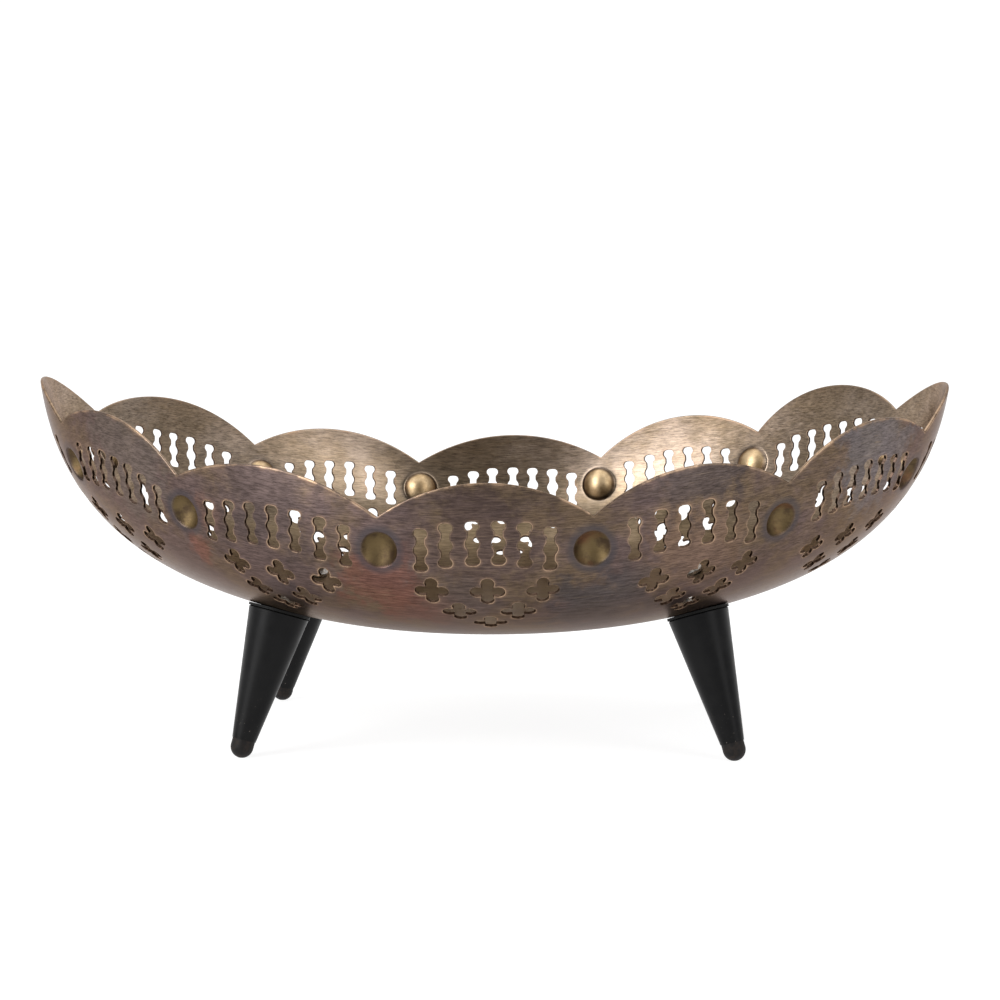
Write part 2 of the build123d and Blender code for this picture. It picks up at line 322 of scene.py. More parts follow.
def flower_field(x, y):
    """Distance outside a flower of four round petals, negative inside."""
    turned = np.arctan2(y, x)
    nearest = np.round(turned / (pi / 2)) * (pi / 2)
    petal_x, petal_y = PETAL_REACH * np.cos(nearest), PETAL_REACH * np.sin(nearest)
    petal = np.hypot(x - petal_x, y - petal_y) - PETAL_RADIUS
    next_turn = nearest + np.where(turned > nearest, 1, -1) * pi / 2
    next_x, next_y = PETAL_REACH * np.cos(next_turn), PETAL_REACH * np.sin(next_turn)
    beside = np.hypot(x - next_x, y - next_y) - PETAL_RADIUS
    return smooth_union([petal, beside, np.hypot(x, y) - FLOWER_HEART], FLOWER_BLEND)


def hole_field(x, y):
    return np.hypot(x, y) - SCREW_HOLE_RADIUS


def slot_rays():
    """Start and direction of the rays that meet a slot's outline, anticlockwise."""
    starts, turns = [], []
    for end in (1, -1):
        base = 0 if end > 0 else pi
        for i in range(SLOT_CAP_RAYS + 1):
            starts.append((0, end * SLOT_END_PLACE))
            turns.append(base + pi * i / SLOT_CAP_RAYS)
        for i in range(1, SLOT_SIDE_RAYS):
            starts.append((0, end * SLOT_END_PLACE * (1 - 2 * i / SLOT_SIDE_RAYS)))
            turns.append(base + pi)
    return np.array(starts, float), np.array(turns, float)


def round_rays(count):
    return np.zeros((count, 2)), np.arange(count) * 2 * pi / count


def outline(field, rays, level):
    """Points at which the rays reach one level of the field."""
    longest, halvings = 12 * MM, 40
    starts, turns = rays
    ways = np.stack([np.cos(turns), np.sin(turns)], axis=1)
    near, far = np.zeros(len(turns)), np.full(len(turns), longest)
    for _ in range(halvings):
        middle = (near + far) / 2
        places = starts + middle[:, None] * ways
        inside = field(places[:, 0], places[:, 1]) < level
        near, far = np.where(inside, middle, near), np.where(inside, far, middle)
    return starts + near[:, None] * ways


SHAPES = {
    "slot": (slot_field, slot_rays()),
    "flower": (flower_field, round_rays(FLOWER_RAYS)),
    "screw_hole": (hole_field, round_rays(SCREW_HOLE_RAYS)),
}


def piercings():
    """Every hole of the sheet: shape, seat and the small error of a hand-held punch."""
    chance = np.random.default_rng(PUNCH_SEED)
    holes = []
    for k, (slots, pitch, shift, rise, tilt, flower_shift, lean, stretch) in enumerate(PATTERNS):
        across = (np.arange(slots) - (slots - 1) / 2) * pitch
        half = (slots + 1) / 2 * pitch
        up = rise - SLOT_ARCH * (across / half) ** 2 + tilt * across
        holes += [("slot", seat, chance.normal(0, 1, 4)) for seat in pattern_seats(k, shift + across, up)]
        for drop, flowers, flower_pitch in FLOWER_ROWS:
            middle = flower_shift + lean * (drop - FLOWER_ROWS[0][0])
            across = middle + (np.arange(flowers) - (flowers - 1) / 2) * flower_pitch
            seats = pattern_seats(k, across, np.full(flowers, -drop * stretch))
            holes += [("flower", seat, chance.normal(0, 1, 4)) for seat in seats]
    for quarter_x in (-1, 1):
        for quarter_y in (-1, 1):
            holes.append(("screw_hole", (*leg_seat(quarter_x, quarter_y), 0.0), np.zeros(4)))
    return holes


def placed(shape, seat_twist, error, level):
    """Outline points of one hole in the plane of its seat."""
    field, rays = SHAPES[shape]
    points = outline(field, rays, level)
    twist = seat_twist + PUNCH_TURN * error[0]
    size = 1 + PUNCH_SIZE * error[1]
    turned_x = points[:, 0] * cos(twist) - points[:, 1] * sin(twist)
    turned_y = points[:, 0] * sin(twist) + points[:, 1] * cos(twist)
    return turned_x * size + PUNCH_SHIFT * error[2], turned_y * size + PUNCH_SHIFT * error[3]


# ---------------------------------------------------------------- rim
def rim_points(rounds=6):
    """Angles and distances along the scalloped edge, anticlockwise, one arc a lobe."""
    angles, distances = [], []
    for k in range(len(LOBES)):
        first_angle, first_height, last_angle, last_height = lobe_ends(k)
        middle = (first_angle + last_angle) / 2
        crest = (first_height + last_height) / 2 + LOBES[k][2]
        ends = np.array([first_angle, middle, last_angle])
        first, top, last = on_bowl(ends, distance_at(ends, np.array([first_height, crest, last_height])))
        along = unit((last - first) * [1, 1, 0])
        flat = np.array([[dots(p - top, along), p[2] - top[2]] for p in (first, last)])
        # circle through the two notches and the crest at 0, 0
        (ax, ay), (bx, by) = flat
        area = 2 * (ax * by - bx * ay)
        centre = np.array([(ax ** 2 + ay ** 2) * by - (bx ** 2 + by ** 2) * ay,
                           (bx ** 2 + by ** 2) * ax - (ax ** 2 + ay ** 2) * bx]) / area
        radius = np.hypot(*centre)
        turn_first = atan2(ay - centre[1], ax - centre[0])
        turn_last = atan2(by - centre[1], bx - centre[0])
        turns = turn_first + (turn_last - turn_first) * np.arange(RIM_STEPS) / RIM_STEPS
        x, y = centre[0] + radius * np.cos(turns), centre[1] + radius * np.sin(turns)
        angle = first_angle + (last_angle - first_angle) * (x - ax) / (bx - ax)
        distance = distance_at(angle, top[2] + y - FOOT_GAP)
        for _ in range(rounds):
            here = on_bowl(angle, distance)
            ahead = on_bowl(angle + TINY_ANGLE, distance) - on_bowl(angle - TINY_ANGLE, distance)
            rate = ahead / (2 * TINY_ANGLE)
            angle = angle + (x - dots(here - top, along)) / dots(rate, along)
            distance = distance_at(angle, top[2] + y - FOOT_GAP)
        angles.append(angle)
        distances.append(distance)
    return np.concatenate(angles), np.concatenate(distances)


def loop_sideways(points, outward):
    """Directions in the sheet square to a closed loop, away from the metal on its right."""
    along = unit(np.roll(points, -1, axis=0) - points) + unit(points - np.roll(points, 1, axis=0))
    return unit(np.cross(outward, unit(along)))


def shifted(angle, distance, way, length):
    """Places a short length away over the sheet, in a direction that lies in it."""
    _, sideways, upward, _ = axes(angle, distance)
    return locate(angle, distance, dots(way, sideways) * length, dots(way, upward) * length)


# ---------------------------------------------------------------- mesh of the bowl
class Net:
    """Flat places of the sheet's mesh points, gathered before they are joined into triangles."""

    def __init__(self):
        self.angles, self.distances, self.wear, self.count = [], [], [], 0
        self.loops, self.edge_points = [], 0

    def add(self, angle, distance, wear):
        self.angles.append(angle)
        self.distances.append(distance)
        self.wear.append(np.full(len(angle), float(wear)))
        self.count += len(angle)
        return np.arange(self.count - len(angle), self.count)


def add_holes(net):
    """Rings of points round every hole, the nearest of them a closed edge of the mesh."""
    holes = piercings()
    for level, wear in HOLE_RINGS:
        spots = [placed(shape, seat[2], error, level) for shape, seat, error in holes]
        counts = [len(x) for x, _ in spots]
        seat_angles = np.repeat([seat[0] for _, seat, _ in holes], counts)
        seat_distances = np.repeat([seat[1] for _, seat, _ in holes], counts)
        x, y = (np.concatenate(column) for column in zip(*spots))
        indices = net.add(*locate(seat_angles, seat_distances, x, y), wear)
        if level == EDGE_BREAK:
            exact = [placed(shape, seat[2], error, 0.0) for shape, seat, error in holes]
            x, y = (np.concatenate(column) for column in zip(*exact))
            angle, distance = locate(seat_angles, seat_distances, x, y)
            starts = np.cumsum([0] + counts)
            for first, last in zip(starts[:-1], starts[1:]):
                net.loops.append((indices[first:last], angle[first:last], distance[first:last], EDGE_BREAK))
            net.edge_points = net.count


def add_rim(net):
    """Rings of points along the rim; returns those on its edge."""
    angle, distance = rim_points()
    place, _, _, outward = axes(angle, distance)
    away = loop_sideways(place, outward)
    indices = net.add(*shifted(angle, distance, -away, RIM_ROUND), 1.0)
    net.loops.append((indices, angle, distance, RIM_ROUND))
    for ring, wear in RIM_RINGS:
        net.add(*shifted(angle, distance, -away, ring), wear)
    return indices


def clear_spots(net, angle, distance, gap):
    """Which places lie on metal and not too near the points gathered so far round the openings."""
    known_angle, known_distance = np.concatenate(net.angles), np.concatenate(net.distances)
    near = kdtree.KDTree(len(known_angle))
    for i, place in enumerate(on_bowl(known_angle, known_distance)):
        near.insert(place, i)
    near.balance()
    found = [near.find(place) for place in on_bowl(angle, distance)]
    # a place whose nearest neighbour is on the edge of a hole lies in that hole
    return np.array([index >= net.edge_points and reach > gap for _, index, reach in found])


def add_bosses(net):
    """Rings of points on every boss, where no hole is in the way."""
    angles, distances = [], []
    for k in range(len(LOBES)):
        seat_angle, seat_distance = boss_seat(k)
        for radius in BOSS_RINGS_MM:
            count = max(1, round(2 * pi * radius / BOSS_PITCH_MM))
            turns = np.arange(count) * 2 * pi / count
            x, y = radius * MM * np.cos(turns), radius * MM * np.sin(turns)
            angle, distance = locate(np.full(count, seat_angle), np.full(count, seat_distance), x, y)
            angles.append(angle)
            distances.append(distance)
    angle, distance = np.concatenate(angles), np.concatenate(distances)
    clear = clear_spots(net, angle, distance, CLEAR_OF_BOSS_RINGS)
    net.add(angle[clear], distance[clear], 0.0)


def inside_loop(u, v, loop_u, loop_v):
    """Whether each point lies inside a closed polygon."""
    result = np.zeros(len(u), bool)
    for i in range(len(loop_u)):
        u0, v0, u1, v1 = loop_u[i - 1], loop_v[i - 1], loop_u[i], loop_v[i]
        crosses = (v0 > v) != (v1 > v)
        if crosses.any():
            result ^= crosses & (u < u0 + (v - v0) * (u1 - u0) / (v1 - v0 + 1e-18))
    return result


def add_grid(net, rim):
    """An even net of points wherever the rings leave room."""
    angle, distance = np.concatenate(net.angles), np.concatenate(net.distances)
    rows = int(GRID_REACH / (GRID * GRID_ROW))
    spots = []
    for row in range(-rows, rows + 1):
        for column in range(-rows, rows + 1):
            spots.append(((column + 0.5 * (row % 2)) * GRID, row * GRID * GRID_ROW))
    u, v = np.array(spots).T
    keep = inside_loop(u, v, distance[rim] * np.cos(angle[rim]), distance[rim] * np.sin(angle[rim]))
    u, v = u[keep], v[keep]
    angle, distance = np.arctan2(v, u), np.hypot(u, v)
    clear = clear_spots(net, angle, distance, CLEAR_OF_RINGS)
    places = on_bowl(angle, distance)
    seats = np.array([boss_seat(k) for k in range(len(LOBES))])
    for boss in on_bowl(seats[:, 0], seats[:, 1]):
        clear &= np.linalg.norm(places - boss, axis=1) > BOSS_REACH
    net.add(angle[clear], distance[clear], 0.0)


def triangulate(net):
    """Triangles of the sheet in its flat chart, with the openings left out."""
    angle, distance = np.concatenate(net.angles), np.concatenate(net.distances)
    u, v = distance * np.cos(angle), distance * np.sin(angle)
    edges = []
    for indices, *_ in net.loops:
        edges.extend(zip(indices.tolist(), np.roll(indices, -1).tolist()))
    spots = [Vector(spot) for spot in zip(u / MM, v / MM)]
    found, _, faces, origins, _, _ = delaunay_2d_cdt(spots, edges, [], 0, 1e-7, True)
    origin = np.array([given[0] if given else -1 for given in origins])
    triangles = origin[np.array(faces)]
    triangles = triangles[(triangles >= 0).all(axis=1)]
    loop_of = np.full(net.count, -1)
    for number, (indices, *_) in enumerate(net.loops):
        loop_of[indices] = number
    on_one_loop = (loop_of[triangles] == loop_of[triangles[:, :1]]).all(axis=1)
    owner = np.where(on_one_loop, loop_of[triangles[:, 0]], -1)
    middle_u, middle_v = u[triangles].mean(axis=1), v[triangles].mean(axis=1)
    keep = np.ones(len(triangles), bool)
    for number, (indices, *_) in enumerate(net.loops):
        mine = np.flatnonzero(owner == number)
        within = inside_loop(middle_u[mine], middle_v[mine], u[indices], v[indices])
        is_rim = number == len(net.loops) - 1
        keep[mine] = within if is_rim else ~within
    triangles = triangles[keep]
    a, b, c = (np.stack([u[triangles[:, i]], v[triangles[:, i]]], axis=1) for i in range(3))
    turned = (b - a)[:, 0] * (c - a)[:, 1] - (b - a)[:, 1] * (c - a)[:, 0]
    triangles[turned < 0] = triangles[turned < 0][:, ::-1]
    return angle, distance, triangles


def cap(radius, ball, lift, softness):
    """Depth of a ball pressed into a plane, its mouth softened, with its slope."""
    foot = np.sqrt(ball ** 2 - lift ** 2)

    def depth(r):
        inside = np.sqrt(np.maximum(ball ** 2 - np.minimum(r, foot) ** 2, 0)) - lift
        beyond = -(r - foot) * foot / lift
        plain = np.where(r < foot, inside, beyond)
        soft = (plain + np.sqrt(plain ** 2 + softness ** 2)) / 2
        fade = np.clip((BOSS_FADE_END - r) / BOSS_FADE, 0, 1)
        return soft * fade * fade * (3 - 2 * fade)

    step = 0.01 * MM
    return depth(radius), (depth(radius + step) - depth(np.maximum(radius - step, 0))) / (2 * step)


def press_bosses(place, outward):
    """Depths, sideways slopes and nearness of the twelve bosses at each point."""
    ball = (BOSS_RADIUS ** 2 + BOSS_DEPTH ** 2) / (2 * BOSS_DEPTH)
    lift = ball - BOSS_DEPTH
    depth_out, depth_in = np.zeros(len(place)), np.zeros(len(place))
    slope_out, slope_in = np.zeros_like(place), np.zeros_like(place)
    nearest = np.full(len(place), 1.0)
    for k in range(len(LOBES)):
        seat = boss_seat(k)
        centre, _, _, normal = (item[0] for item in axes(one(seat[0]), one(seat[1])))
        gone = place - centre
        flat = gone - dots(gone, normal)[:, None] * normal
        radius = np.linalg.norm(flat, axis=1)
        mine = (radius < 1.2 * BOSS_REACH) & (np.linalg.norm(gone, axis=1) < 1.5 * BOSS_REACH)
        nearest = np.where(mine, np.minimum(nearest, radius), nearest)
        way = unit(flat[mine])
        way = unit(way - dots(way, outward[mine])[:, None] * outward[mine])
        for depth, slope, measure in (
            (depth_out, slope_out, cap(radius[mine], ball, lift, BOSS_SOFTNESS)),
            (depth_in, slope_in, cap(radius[mine], ball + SHEET, lift + SHEET, BOSS_SOFTNESS)),
        ):
            depth[mine] += measure[0]
            slope[mine] += measure[1][:, None] * way
    return depth_out, slope_out, depth_in, slope_in, nearest


def bowl_mesh():
    """Both faces of the sheet and its cut edges, with what the material needs at each point."""
    net = Net()
    add_holes(net)
    rim = add_rim(net)
    add_bosses(net)
    add_grid(net, rim)
    angle, distance, triangles = triangulate(net)
    wear = np.concatenate(net.wear)
    place, _, _, outward = axes(angle, distance)
    depth_out, slope_out, depth_in, slope_in, nearest = press_bosses(place, outward)
    count = len(angle)

    points = [place - outward * depth_out[:, None], place - outward * (SHEET + depth_in)[:, None]]
    normals = [unit(outward + slope_out), -unit(outward + slope_in)]
    traits = {
        "wear": [wear, wear],
        "inside": [np.zeros(count), np.ones(count)],
        "cut": [np.zeros(count), np.zeros(count)],
        "boss": [nearest, nearest],
    }
    charts = [(angle, distance), (angle, distance)]
    faces = [triangles[:, ::-1], triangles + count]
    total = 2 * count
    for indices, loop_angle, loop_distance, broken in net.loops:
        exact, _, _, loop_outward = axes(loop_angle, loop_distance)
        away = loop_sideways(exact, loop_outward)
        size = len(indices)
        is_rim = broken == RIM_ROUND
        steps = (0.5, 1.0) if is_rim else (1.0,)
        rows = [(broken * (1 - sin(s * pi / 2)), broken * (1 - cos(s * pi / 2)), s * pi / 2) for s in steps]
        rows += [(inset, SHEET - depth, pi - tilt) for inset, depth, tilt in reversed(rows)]
        previous = indices
        for inset, depth, tilt in rows:
            points.append(exact - away * inset - loop_outward * depth)
            normals.append(unit(loop_outward * cos(tilt) + away * sin(tilt)))
            traits["wear"].append(np.full(size, 1.0))
            traits["inside"].append(np.full(size, depth / SHEET))
            traits["cut"].append(np.full(size, 0.0 if is_rim else 1.0))
            traits["boss"].append(np.full(size, 1.0))
            charts.append((loop_angle, loop_distance))
            current = np.arange(total, total + size)
            faces.append((previous, current))
            previous = current
            total += size
        faces.append((previous, indices + count))

    points, normals = np.concatenate(points), np.concatenate(normals)
    polygons = []
    for item in faces:
        if isinstance(item, tuple):
            upper, lower = item
            polygons.extend(np.stack([upper, np.roll(upper, -1), np.roll(lower, -1), lower], axis=1).tolist())
        else:
            polygons.extend(item.tolist())
    chart_angle = np.concatenate([c[0] for c in charts])
    chart_distance = np.concatenate([c[1] for c in charts])
    u, v = chart_distance * np.cos(chart_angle), chart_distance * np.sin(chart_angle)
    around = np.hypot(v, BRUSH_OVAL * u)

    mesh = bpy.data.meshes.new("pierced_bowl")
    mesh.from_pydata(points.tolist(), [], polygons)
    mesh.polygons.foreach_set("use_smooth", np.ones(len(polygons), bool))
    brush = mesh.attributes.new("brush", "FLOAT_VECTOR", "POINT")
    brush.data.foreach_set("vector", np.stack([u, v, around], axis=1).astype(np.float32).ravel())
    for name, parts in traits.items():
        attribute = mesh.attributes.new(name, "FLOAT", "POINT")
        attribute.data.foreach_set("value", np.concatenate(parts).astype(np.float32))
    mesh.normals_split_custom_set_from_vertices(normals.tolist())
    mesh.update()
    return mesh


def show(name, mesh, material, slot, *replaced):
    piece = bpy.data.objects.new(name, mesh)
    bpy.context.scene.collection.objects.link(piece)
    mesh.materials.append(material)
    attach(piece, "root")
    if replaced:
        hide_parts(*replaced)
    return piece


# ---------------------------------------------------------------- materials
class Recipe:
    """A node material, built by naming nodes and their inputs."""

    def __init__(self, name):
        self.material = bpy.data.materials.new(name)
        self.material.use_nodes = True
        self.tree = self.material.node_tree
        self.shader = self.tree.nodes["Principled BSDF"]

    def put(self, socket, value):
        if isinstance(value, bpy.types.NodeSocket):
            self.tree.links.new(value, socket)
        else:
            socket.default_value = value

    def node(self, kind, inputs=None, output=0, **settings):
        made = self.tree.nodes.new("ShaderNode" + kind)
        for name, value in settings.items():
            setattr(made, name, value)
        for name, value in (inputs or {}).items():
            self.put(made.inputs[name], value)
        return made.outputs[output]

    def attribute(self, name, output="Fac"):
        return self.node("Attribute", attribute_name=name, output=output)

    def noise(self, vector, scale, detail, roughness):
        return self.node("TexNoise", {"Vector": vector, "Scale": scale, "Detail": detail,
                                      "Roughness": roughness})

    def stretched(self, vector, scale):
        return self.node("Mapping", {"Vector": vector, "Scale": scale}, vector_type="POINT")

    def ramp(self, value, low, high, to_low=0.0, to_high=1.0):
        return self.node("MapRange", {"Value": value, "From Min": low, "From Max": high,
                                      "To Min": to_low, "To Max": to_high}, interpolation_type="SMOOTHSTEP")

    def math(self, operation, a, b):
        return self.node("Math", {0: a, 1: b}, operation=operation)

    def times(self, first, *others):
        for other in others:
            first = self.math("MULTIPLY", first, other)
        return first

    def mix(self, share, a, b):
        made = self.tree.nodes.new("ShaderNodeMix")
        made.data_type = "RGBA"
        self.put(made.inputs["Factor"], share)
        for socket, value in ((made.inputs[6], a), (made.inputs[7], b)):
            self.put(socket, (*value, 1.0) if isinstance(value, tuple) else value)
        return made.outputs[2]

    def scaled(self, colour, factor):
        return self.node("VectorMath", {0: colour, "Scale": factor}, operation="SCALE")

    def finish(self, **inputs):
        for name, value in inputs.items():
            self.put(self.shader.inputs[name.replace("_", " ")], value)
        return self.material


# Colours of the metal, linear
VIOLET_BROWN, OLIVE_BROWN = (0.100, 0.070, 0.064), (0.118, 0.082, 0.054)
DARK_BAND = (0.078, 0.058, 0.060)
PALE_GOLD, BROWN_GOLD = (0.325, 0.255, 0.200), (0.245, 0.185, 0.130)
OLIVE_BAND = (0.200, 0.145, 0.090)
BROWN_DEPTHS = (0.110, 0.080, 0.046)
SCRATCH = (0.330, 0.240, 0.160)
DISH_OLIVE, DISH_BROWN = (0.162, 0.115, 0.056), (0.080, 0.054, 0.033)
DISH_RED = (0.170, 0.062, 0.034)
DOME_BRIGHT, DOME_DULL = (0.640, 0.480, 0.290), (0.360, 0.250, 0.135)
# dark ring round the bosses: patina with painted shade
RING_PATINA_AND_SHADE = (0.055, 0.050, 0.056)
# edges rubbed bright: wear with a painted highlight
RUBBED_BROWN_AND_SHEEN, RUBBED_BRIGHT_AND_HIGHLIGHT = (0.230, 0.145, 0.100), (0.480, 0.330, 0.215)
# cut walls of the holes: dark patina with painted shade
CUT_EDGE_PATINA_AND_SHADE = (0.050, 0.030, 0.022)
BRASS_TINT = (0.72, 0.64, 0.60, 1.0)

# Stains of the outside: lobe, place in its pattern, reach, colour and strength
STAINS = [
    (8, 0.036, -0.014, 0.017, (0.165, 0.073, 0.054), 0.70),
    (8, 0.043, -0.026, 0.014, (0.165, 0.075, 0.056), 0.55),
    (9, -0.016, -0.021, 0.009, (0.170, 0.075, 0.058), 0.40),
    (8, -0.030, -0.013, 0.007, (0.190, 0.075, 0.052), 0.55),
    (8, -0.024, 0.002, 0.008, (0.150, 0.080, 0.058), 0.45),
    (8, 0.000, -0.022, 0.010, (0.064, 0.053, 0.058), 0.50),
    (9, 0.030, -0.024, 0.017, (0.062, 0.054, 0.060), 0.50),
    (9, -0.002, 0.000, 0.024, (0.078, 0.054, 0.050), 0.75),
    (9, -0.008, -0.020, 0.016, (0.130, 0.098, 0.084), 0.45),
    (10, 0.000, -0.004, 0.022, (0.170, 0.108, 0.074), 0.60),
    (10, 0.002, 0.022, 0.021, (0.066, 0.052, 0.050), 0.85),
    (10, -0.024, -0.026, 0.022, (0.078, 0.068, 0.068), 0.55),
    (8, 0.000, 0.018, 0.030, (0.078, 0.058, 0.054), 0.70),
    (11, 0.008, 0.014, 0.024, (0.140, 0.130, 0.136), 0.60),
    (7, 0.005, 0.012, 0.024, (0.130, 0.108, 0.092), 0.50),
]


def patinated_brass():
    """Lengthwise brushed brass under a dark brown patina, rubbed bright along its edges, partly by wear and
    partly as a painted highlight; painted shade darkens the outside low down, and adds to the dark patina of
    the hole walls and of a ring round each boss.
    """
    r = Recipe("patinated_brass")
    spot = r.node("TexCoord", output="Object")
    height = r.node("SeparateXYZ", {0: spot}, output="Z")
    brush = r.attribute("brush", "Vector")
    wear, inside, cut, boss = (r.attribute(name) for name in ("wear", "inside", "cut", "boss"))

    fine = r.noise(r.stretched(brush, (320, 320, 2900)), 1.0, 4.0, 0.72)
    coarse = r.noise(r.stretched(brush, (170, 170, 1000)), 1.0, 5.0, 0.70)
    band = r.noise(r.stretched(brush, (55, 55, 230)), 1.0, 6.0, 0.70)
    scratch = r.noise(r.stretched(brush, (90, 90, 5200)), 1.0, 2.0, 0.5)
    cloud = r.noise(spot, 30.0, 5.0, 0.65)
    blotch = r.noise(spot, 110.0, 5.0, 0.70)
    speckle = r.noise(spot, 420.0, 3.0, 0.6)

    # outside: violet brown and olive brown, with stains of copper and of soot, and painted shade that darkens
    # it low down
    outer = r.mix(r.ramp(cloud, 0.42, 0.60), VIOLET_BROWN, OLIVE_BROWN)
    outer = r.mix(r.ramp(band, 0.45, 0.70, 0.0, 0.45), outer, DARK_BAND)
    for k, across, up, reach, stain, strength in STAINS:
        angle, distance, _ = pattern_seats(k, one(across), one(up))[0]
        centre = on_bowl(one(angle), one(distance))[0]
        gone = r.node("VectorMath", {0: spot, 1: centre.tolist()}, operation="DISTANCE", output="Value")
        ragged = r.math("ADD", r.math("DIVIDE", gone, reach), r.ramp(blotch, 0.3, 0.7, -0.35, 0.35))
        outer = r.mix(r.ramp(ragged, 0.45, 1.0, strength, 0.0), outer, stain)
    # painted shade: darker low down on the outside, by height
    outer = r.scaled(outer, r.ramp(height, 0.048, 0.080, 0.76, 1.0))
    # inside: paler golden brown, dark toward the bottom
    inner = r.mix(r.ramp(cloud, 0.4, 0.60), PALE_GOLD, BROWN_GOLD)
    inner = r.mix(r.ramp(band, 0.48, 0.72, 0.0, 0.6), inner, OLIVE_BAND)
    inner = r.mix(r.ramp(height, 0.058, 0.082, 0.85, 0.0), inner, BROWN_DEPTHS)
    colour = r.mix(inside, outer, inner)
    # streaks of the brushing, with a few bright scratches
    streak = r.ramp(fine, 0.34, 0.66, 0.68, 1.36)
    broad = r.ramp(coarse, 0.32, 0.68, 0.84, 1.18)
    mottle = r.ramp(blotch, 0.30, 0.70, 0.90, 1.12)
    colour = r.scaled(colour, r.times(streak, broad, mottle))
    bright = r.times(r.ramp(scratch, 0.64, 0.71, 0.0, 0.40), r.ramp(cloud, 0.45, 0.60))
    colour = r.mix(bright, colour, SCRATCH)
    # bosses: olive brass in the hollow, bright brass on the dome, a dark ring round both, partly patina and
    # partly painted shade
    in_boss = r.ramp(boss, 0.0050, 0.0060, 1.0, 0.0)
    dish = r.mix(r.ramp(blotch, 0.40, 0.64), DISH_OLIVE, DISH_BROWN)
    dish = r.mix(r.ramp(cloud, 0.50, 0.60, 0.0, 0.45), dish, DISH_RED)
    dome = r.mix(r.ramp(blotch, 0.40, 0.64), DOME_BRIGHT, DOME_DULL)
    colour = r.mix(in_boss, colour, r.mix(inside, dish, dome))
    # painted shade and patina: a dark ring round the mouth of each boss, fainter on the inside
    ring = r.times(r.ramp(boss, 0.0050, 0.0060), r.ramp(boss, 0.0062, 0.0088, 1.0, 0.0))
    colour = r.mix(r.times(ring, r.ramp(inside, 0.0, 1.0, 0.65, 0.25)), colour, RING_PATINA_AND_SHADE)
    # worn edges, partly real wear and partly a painted highlight of the rounded edges: a lighter halo round
    # each hole and a bright line on the edge itself
    halo = r.times(r.ramp(wear, 0.05, 0.6), r.ramp(blotch, 0.46, 0.62, 0.0, 0.36))
    colour = r.mix(halo, colour, RUBBED_BROWN_AND_SHEEN)
    rub_and_highlight = r.times(r.ramp(wear, 0.60, 1.0), r.ramp(blotch, 0.42, 0.64, 0.08, 0.75))
    rub_and_highlight = r.times(rub_and_highlight, r.ramp(inside, 0.2, 0.8, 1.0, 0.55))
    colour = r.mix(rub_and_highlight, colour, RUBBED_BRIGHT_AND_HIGHLIGHT)
    # painted shade with dark patina on the cut walls of the holes
    colour = r.mix(r.times(cut, 0.9), colour, CUT_EDGE_PATINA_AND_SHADE)

    hollow = r.times(in_boss, r.math("SUBTRACT", 1.0, inside))
    roughness = r.math("ADD", r.ramp(fine, 0.3, 0.8, 0.27, 0.40), r.times(hollow, 0.28))
    roughness = r.math("ADD", roughness, r.times(in_boss, inside, 0.12))
    grain = r.math("ADD", r.times(fine, 0.6), r.times(coarse, 0.4))
    bump = r.node("Bump", {"Strength": 0.10, "Distance": 0.00008, "Height": grain})
    bump = r.node("Bump", {"Strength": 0.06, "Distance": 0.00020, "Height": speckle, "Normal": bump})
    return r.finish(Base_Color=colour, Metallic=1.0, Roughness=roughness, Anisotropic=0.45,
                    Anisotropic_Rotation=0.25, Specular_Tint=BRASS_TINT, Normal=bump)


def satin_black():
    """Satin black coating over a turned leg, with faint wrinkles and chips near the foot."""
    r = Recipe("satin_black")
    spot = r.node("TexCoord", output="Object")
    height = r.node("SeparateXYZ", {0: spot}, output="Z")
    cloud = r.noise(spot, 160.0, 4.0, 0.6)
    chips = r.noise(spot, 1300.0, 3.0, 0.6)
    wrinkle = r.noise(r.stretched(spot, (120, 120, 900)), 1.0, 3.0, 0.6)
    colour = r.mix(r.ramp(cloud, 0.35, 0.7), (0.0034, 0.0034, 0.0038), (0.0055, 0.0054, 0.0057))
    chipped = r.times(r.ramp(chips, 0.66, 0.72), r.ramp(height, 0.008, 0.022, 0.9, 0.0))
    colour = r.mix(chipped, colour, (0.130, 0.110, 0.095))
    roughness = r.ramp(cloud, 0.3, 0.7, 0.30, 0.42)
    bump = r.node("Bump", {"Strength": 0.10, "Distance": 0.0002, "Height": wrinkle})
    return r.finish(Base_Color=colour, Roughness=roughness, Specular_IOR_Level=0.12, Normal=bump)


def rubber(name, dark, light):
    """Matt black rubber with a faint unevenness."""
    r = Recipe(name)
    spot = r.node("TexCoord", output="Object")
    cloud = r.noise(spot, 500.0, 5.0, 0.65)
    colour = r.mix(r.ramp(cloud, 0.4, 0.7), dark, light)
    bump = r.node("Bump", {"Strength": 0.2, "Distance": 0.0001, "Height": cloud})
    roughness = r.ramp(cloud, 0.3, 0.7, 0.5, 0.7)
    return r.finish(Base_Color=colour, Roughness=roughness, Specular_IOR_Level=0.2, Normal=bump)


def brushed_steel():
    """Dull steel of the screws and washers."""
    r = Recipe("brushed_steel")
    spot = r.node("TexCoord", output="Object")
    grain = r.noise(r.stretched(spot, (300, 2500, 2500)), 1.0, 3.0, 0.6)
    colour = r.mix(r.ramp(grain, 0.3, 0.7), (0.42, 0.41, 0.40), (0.60, 0.59, 0.57))
    bump = r.node("Bump", {"Strength": 0.1, "Distance": 0.00005, "Height": grain})
    roughness = r.ramp(grain, 0.3, 0.7, 0.22, 0.4)
    return r.finish(Base_Color=colour, Metallic=1.0, Roughness=roughness, Normal=bump)


def paint(node, material):
    """A CAD node that keeps its shape and gets a better finish."""
    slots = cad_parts[node].material_slots
    if not slots:
        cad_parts[node].data.materials.append(material)
    for holder in slots:
        holder.material = material


